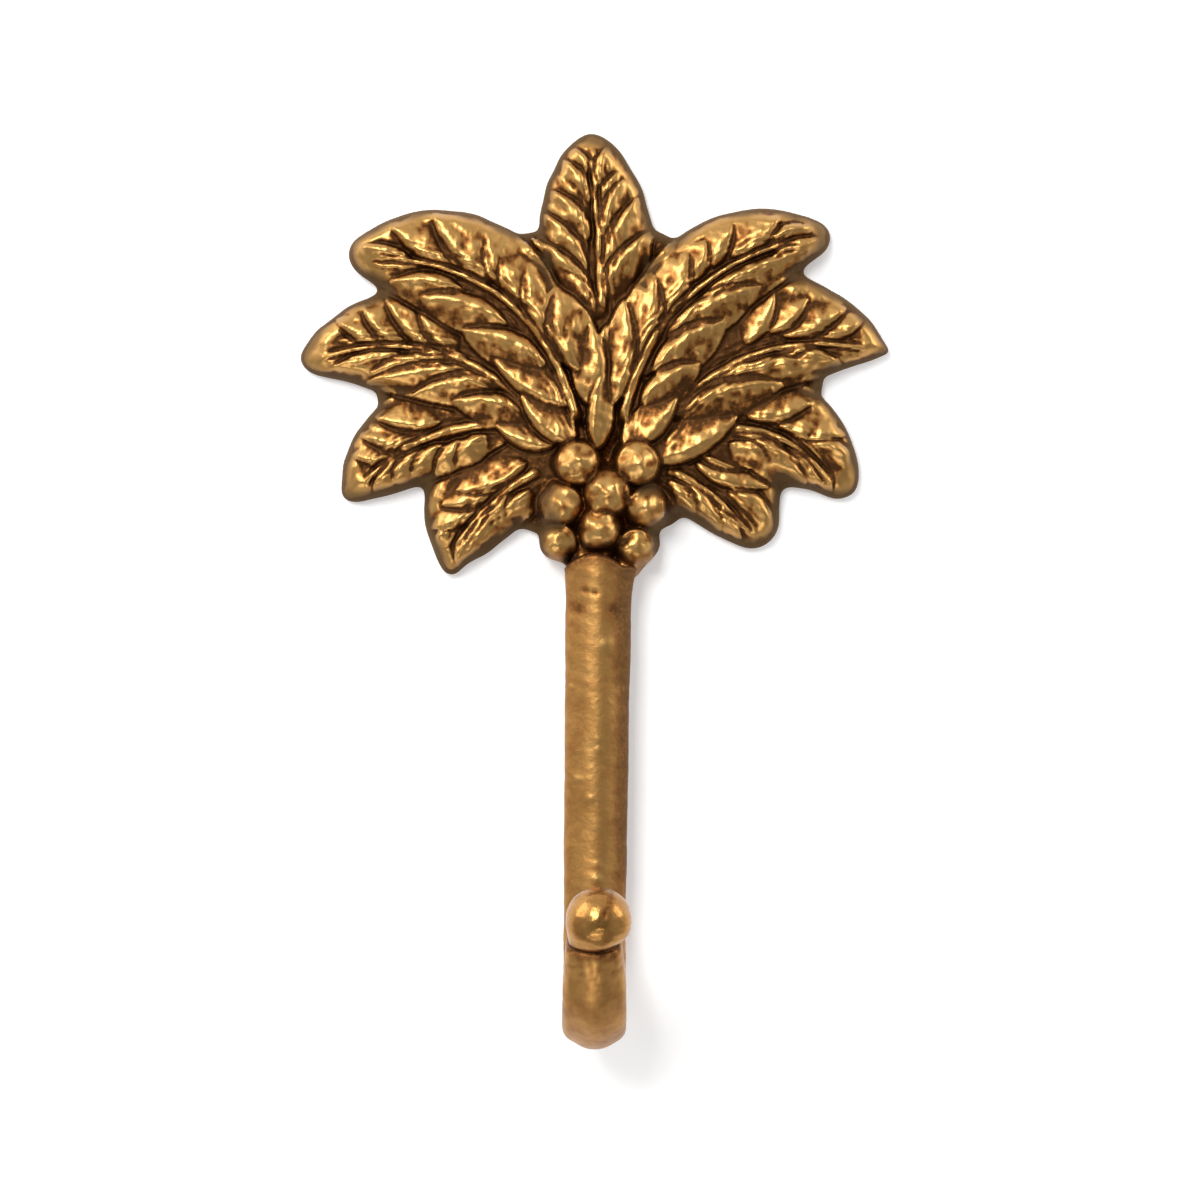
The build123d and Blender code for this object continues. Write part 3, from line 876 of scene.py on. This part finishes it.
def trunk_ring(section, top, scale=1.0):
    """Ring of the trunk with its highest point at top: x, level, out, patina and mattness, both with
    painted shade on its right side.
    """
    far = TRUNK_TOP - top
    down = far / (TRUNK_TOP - BEND_LEVEL)
    collar = ease(top, COLLAR_FOOT, TRUNK_TOP)
    spread = TRUNK_SPREAD + (1 - TRUNK_SPREAD) * down + (COLLAR_SPREAD - TRUNK_SPREAD) * collar
    lean = LEAN_TOP + (LEAN_FOOT - LEAN_TOP) * down
    x = section[0] * spread * scale
    out = section[1] * scale
    x = x + np.where(x > 0, TRUNK_FLARE * math.exp(-far / FLARE_RIGHT_FALL), 0) * (x / BAR_HALF) ** 2
    arch = np.minimum(((x + LIP_SHIFT) / LIP_HALF) ** 2, LIP_MOST)
    level = top - LIP_DROP * arch * math.exp(-far / LIP_FALL)

    wear = skin_wear(x, level)
    patina_and_shade = np.full(SIDES, STEM_PATINA)
    for mark in MARKS:
        near = bell(x + lean, level, mark, mark.radius)
        wear = wear + mark.rise * near * (out > 0)
        patina_and_shade = patina_and_shade + mark.stain * near * (out > 0)
    x, out = worn(x, out, wear)
    x = x + lean
    out = np.maximum(AXIS_OUT + out, FOOT_CLEAR * collar)
    # Painted shade: darker and more matt towards the trunk's right side, fading out just above the bend
    painted_shade = ease(top, BEND_LEVEL, BEND_LEVEL + PAINTED_SHADE_RISE) * ease(x, *PAINTED_SHADE_ACROSS)
    stain = LIP_STAIN * math.exp(-far / LIP_STAIN_FALL) * (1 - ease(x, *LIP_STAIN_ENDS))
    patina_and_shade = patina_and_shade + stain + PAINTED_SHADE_DARKEN * painted_shade
    patina_and_shade = patina_and_shade - RIDGE_WORN * np.exp(-((x - RIDGE_AT) / RIDGE_REACH) ** 2)
    return x, level, out, patina_and_shade, STEM_MATT + PAINTED_SHADE_MATT * painted_shade


def bend_ring(section, turn):
    """Ring of the bend, so far round it."""
    x, out = section
    x, out = worn(x, out, skin_wear(x, BEND_LEVEL - turn * BEND_RADIUS))
    radius = BEND_RADIUS - out
    level = BEND_LEVEL - radius * math.sin(turn)
    out = np.maximum(BEND_OUT - radius * math.cos(turn), 0)
    return x + LEAN_FOOT, level, out, STEM_PATINA, STEM_MATT


def arm_place(run, inner):
    """Level and distance from the wall, so far along the arm and to its inner side."""
    level = BEND_LEVEL - BEND_RADIUS * math.sin(BEND_TURN) + ARM_AHEAD[1] * run + ARM_INWARD[1] * inner
    out = BEND_OUT - BEND_RADIUS * math.cos(BEND_TURN) + ARM_AHEAD[0] * run + ARM_INWARD[0] * inner
    return level, out


def arm_ring(section, run):
    """Ring of the arm, which narrows to a rough neck under the ball."""
    x, inner = section
    length = ARM_LENGTH - BALL_SEAT
    share = run / length
    crease = math.exp(-(length - run) / NECK_CREASE_WIDTH)
    rough = share * ripple(x, run, NECK_RIPPLE)
    wear = skin_wear(x, BEND_LEVEL - BEND_TURN * BEND_RADIUS - run) + NECK_ROUGH * rough
    x, inner = worn(x, inner, wear, 1 + (NECK - 1) * share - NECK_CREASE * crease)
    level, out = arm_place(run, inner)
    # Patina and painted shadow in the crease under the ball
    patina_and_shade = STEM_PATINA + NECK_PATINA_AND_SHADE * crease - ARM_WORN - NECK_MOTTLE * rough
    return x + LEAN_FOOT, level, out, patina_and_shade, STEM_MATT


def ball_ring(section, share):
    """Ring of the ball, so far from its seat to its top."""
    seat = math.asin(BALL_SEAT / BALL_RADIUS)
    tilt = -seat + share * (math.pi / 2 + seat)
    rise = math.sin(tilt)
    radius = BALL_RADIUS * math.cos(tilt)
    run = ARM_LENGTH + BALL_RADIUS * rise
    angle = np.linspace(0, 2 * math.pi, SIDES, endpoint=False)
    x = (np.sin(angle) * (1 - BALL_RIDGE) + section[0] / BAR_HALF * BALL_RIDGE) * radius
    inner = (np.cos(angle) * (1 - BALL_RIDGE) + section[1] / BAR_HALF * BALL_RIDGE) * radius

    wear = np.zeros(SIDES)
    for lump_x, lump_inner, spread, height in BALL_LUMPS:
        wear = wear + height * np.exp(-((x - lump_x) ** 2 + (inner - lump_inner) ** 2) / spread) * rise
    wear = wear + ripple(x, inner + run, BALL_RIPPLES[0]) + ripple(x, inner + run * 2, BALL_RIPPLES[1])
    lift = ARM_AHEAD[1] * BALL_RADIUS * rise + ARM_INWARD[1] * inner
    faces_out = ARM_AHEAD[0] * BALL_RADIUS * rise + ARM_INWARD[0] * inner > 0
    groove = np.exp(-((x - GROOVE_AT - GROOVE_LEAN * lift) / GROOVE_WIDTH) ** 2)
    groove = groove * ease(lift, *GROOVE_STARTS) * faces_out
    x, inner = worn(x, inner, (wear - GROOVE * groove) * math.cos(tilt))
    shift = LEAN_FOOT + (LEAN_BALL - LEAN_FOOT) * ease(share, 0, BALL_SHIFT_END)
    level, out = arm_place(run, inner)
    # Patina and painted shadow at the ball's seat
    patina_and_shade = STEM_PATINA + GROOVE_STAIN * groove + SEAT_PATINA_AND_SHADE * math.exp(-share / SEAT_PATINA_AND_SHADE_WIDTH)
    return x + shift, level, out, patina_and_shade, BALL_POLISH


def make_stem():
    """Trunk, bend, arm and ball as one swept skin."""
    section = rounded_section()
    rings = [trunk_ring(section, TRUNK_TOP - drop, scale) for drop, scale in LIP_RINGS]
    for top in np.arange(TRUNK_TOP - TRUNK_START, BEND_LEVEL, -TRUNK_STEP):
        rings.append(trunk_ring(section, top))
    for turn in np.linspace(0, BEND_TURN, BEND_RINGS):
        rings.append(bend_ring(section, turn))
    for run in np.linspace(0, ARM_LENGTH - BALL_SEAT, ARM_RINGS)[1:]:
        rings.append(arm_ring(section, run))
    for share in np.linspace(0, 1, BALL_RINGS)[:-1]:
        rings.append(ball_ring(section, share))

    skin = Skin()
    for x, level, out, patina_and_shade, matt_and_shade in rings:
        skin.add(to_world(x, level, out), np.clip(patina_and_shade, 0, 1), matt_and_shade)
    skin.join_rings(0, len(rings), SIDES)
    skin.faces.append(list(range(SIDES)))
    skin.faces.append(list(range(skin.count - SIDES, skin.count)))
    return make_mesh("palm_stem", skin)


def add_node(tree, kind, inputs=(), **settings):
    """New node; an input that is given a socket is linked to it, and any other is set."""
    node = tree.nodes.new(kind)
    for key, value in settings.items():
        setattr(node, key, value)
    for key, value in dict(inputs).items():
        if isinstance(value, bpy.types.NodeSocket):
            tree.links.new(value, node.inputs[key])
        else:
            node.inputs[key].default_value = value
    return node


def add_math(tree, operation, *values, **settings):
    return add_node(tree, "ShaderNodeMath", enumerate(values), operation=operation, **settings).outputs[0]


def add_range(tree, value, low, high, to_low, to_high):
    """Carries a value from one range to another."""
    inputs = {"Value": value, "From Min": low, "From Max": high, "To Min": to_low, "To Max": to_high}
    return add_node(tree, "ShaderNodeMapRange", inputs).outputs["Result"]


def add_noise(tree, place, look):
    return add_node(tree, "ShaderNodeTexNoise", {"Vector": place, **look}).outputs["Fac"]


def antique_brass():
    """Brass worn bright on the high places, with brown patina in the hollows and a matt rim; the patina and
    matt values also carry painted shade on the stem.
    """
    material = bpy.data.materials.new("antique_brass")
    material.use_nodes = True
    tree = material.node_tree
    place = add_node(tree, "ShaderNodeTexCoord").outputs["Object"]
    patina_and_shade = add_node(tree, "ShaderNodeAttribute", attribute_name="patina_and_shade").outputs["Fac"]
    matt_and_shade = add_node(tree, "ShaderNodeAttribute", attribute_name="matt_and_shade").outputs["Fac"]

    stain = add_math(tree, "MULTIPLY_ADD", add_noise(tree, place, BLOTCH), BLOTCH_SHARE, patina_and_shade)
    speck = add_range(tree, add_noise(tree, place, SPECK), *SPECK_RANGE)
    soiled = add_math(tree, "MULTIPLY_ADD", speck, add_range(tree, patina_and_shade, *SPECK_DEEP), stain)
    ramp = add_node(tree, "ShaderNodeValToRGB", {"Fac": soiled})
    stops = ramp.color_ramp.elements
    first, *between, last = WORN_TO_BROWN
    for stop, (position, colour) in zip(stops, (first, last)):
        stop.position = position
        stop.color = colour
    for position, colour in between:
        stops.new(position).color = colour

    # The matt veil also lays painted shade on the trunk's right side
    share = add_math(tree, "MULTIPLY", matt_and_shade, MATT_AND_SHADE_SHARE)
    layers = {"Factor": share, "A": ramp.outputs["Color"], "B": MATT_AND_SHADE_COLOUR}
    veil = add_node(tree, "ShaderNodeMix", layers, data_type="RGBA")
    rough = add_range(tree, stain, *ROUGH_RANGE)
    bump = add_node(tree, "ShaderNodeBump", {"Height": add_noise(tree, place, GRAIN), **GRAIN_BUMP})
    looks = {
        "Base Color": veil.outputs["Result"],
        "Roughness": add_math(tree, "MULTIPLY_ADD", matt_and_shade, MATT_ROUGH, rough),
        "Metallic": add_range(tree, matt_and_shade, *METAL_RANGE),
        "Normal": bump.outputs["Normal"],
    }
    for key, value in looks.items():
        tree.links.new(value, tree.nodes["Principled BSDF"].inputs[key])
    return material


def wall_white():
    """White wall for what the camera and the metal see; from behind there is nothing."""
    material = bpy.data.materials.new("wall_white")
    material.use_nodes = True
    tree = material.node_tree
    tree.nodes.remove(tree.nodes["Principled BSDF"])
    rays = add_node(tree, "ShaderNodeLightPath").outputs
    side = add_node(tree, "ShaderNodeNewGeometry").outputs
    seen = add_math(tree, "MAXIMUM", rays["Is Camera Ray"], rays["Is Glossy Ray"])
    seen = add_math(tree, "MAXIMUM", seen, rays["Is Transmission Ray"])
    front = add_math(tree, "SUBTRACT", seen, side["Backfacing"], use_clamp=True)
    clear = add_node(tree, "ShaderNodeBsdfTransparent").outputs[0]
    paint = add_node(tree, "ShaderNodeBsdfDiffuse", {"Color": WALL_COLOUR}).outputs[0]
    glow = add_node(tree, "ShaderNodeEmission", {"Strength": WALL_GLOW}).outputs[0]
    both = add_node(tree, "ShaderNodeAddShader", {0: paint, 1: glow}).outputs[0]
    mix = add_node(tree, "ShaderNodeMixShader", {0: front, 1: clear, 2: both}).outputs[0]
    tree.links.new(mix, tree.nodes["Material Output"].inputs["Surface"])
    return material


def make_wall():
    mesh = bpy.data.meshes.new("wall")
    corners = [(-WALL_HALF, WALL_BACK, -WALL_HALF), (WALL_HALF, WALL_BACK, -WALL_HALF),
               (WALL_HALF, WALL_BACK, WALL_HALF), (-WALL_HALF, WALL_BACK, WALL_HALF)]
    mesh.from_pydata(corners, [], [(0, 1, 2, 3)])
    mesh.materials.append(wall_white())
    wall = bpy.data.objects.new("wall", mesh)
    bpy.context.scene.collection.objects.link(wall)


def make_lamp(name, place, size, power):
    lamp = bpy.data.lights.new(name, "AREA")
    lamp.shape = "RECTANGLE"
    lamp.size, lamp.size_y = size
    lamp.energy = power
    holder = bpy.data.objects.new(name, lamp)
    holder.location = place
    aim = Vector(LAMP_AIM) - Vector(place)
    holder.rotation_euler = aim.to_track_quat("-Z", "Y").to_euler()
    bpy.context.scene.collection.objects.link(holder)


def make_world():
    """Pale room, brighter overhead and darker behind the camera."""
    world = bpy.data.worlds.new("studio")
    bpy.context.scene.world = world
    world.use_nodes = True
    tree = world.node_tree
    place = add_node(tree, "ShaderNodeTexCoord").outputs["Generated"]
    split = add_node(tree, "ShaderNodeSeparateXYZ", {0: place}).outputs
    rise = add_range(tree, split["Z"], *ROOM_RISE)
    front = add_range(tree, split["Y"], *ROOM_FRONT)
    room = tree.nodes["Background"]
    room.inputs["Color"].default_value = ROOM_COLOUR
    tree.links.new(add_math(tree, "MULTIPLY", rise, front), room.inputs["Strength"])


def make_camera():
    lens = bpy.data.cameras.new("camera")
    lens.sensor_width = SENSOR
    lens.lens = SENSOR * (EYE_OUT - FRAME_OUT) / FRAME_WIDTH
    lens.clip_start = CLIP_START
    eye = bpy.data.objects.new("camera", lens)
    eye.location = (EYE[0] * MM, -EYE_OUT * MM, EYE[1] * MM)
    eye.rotation_euler = (math.pi / 2, 0, 0)
    bpy.context.scene.collection.objects.link(eye)
    bpy.context.scene.camera = eye


make_camera()
make_world()
make_wall()
for name, place, size, power in LAMPS:
    make_lamp(name, place, size, power)

brass = antique_brass()
for piece in (make_crown(), make_stem()):
    piece.data.materials.append(brass)
    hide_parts("palm_hook")
    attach(piece, "root")

bpy.context.scene.view_settings.view_transform = "Standard"
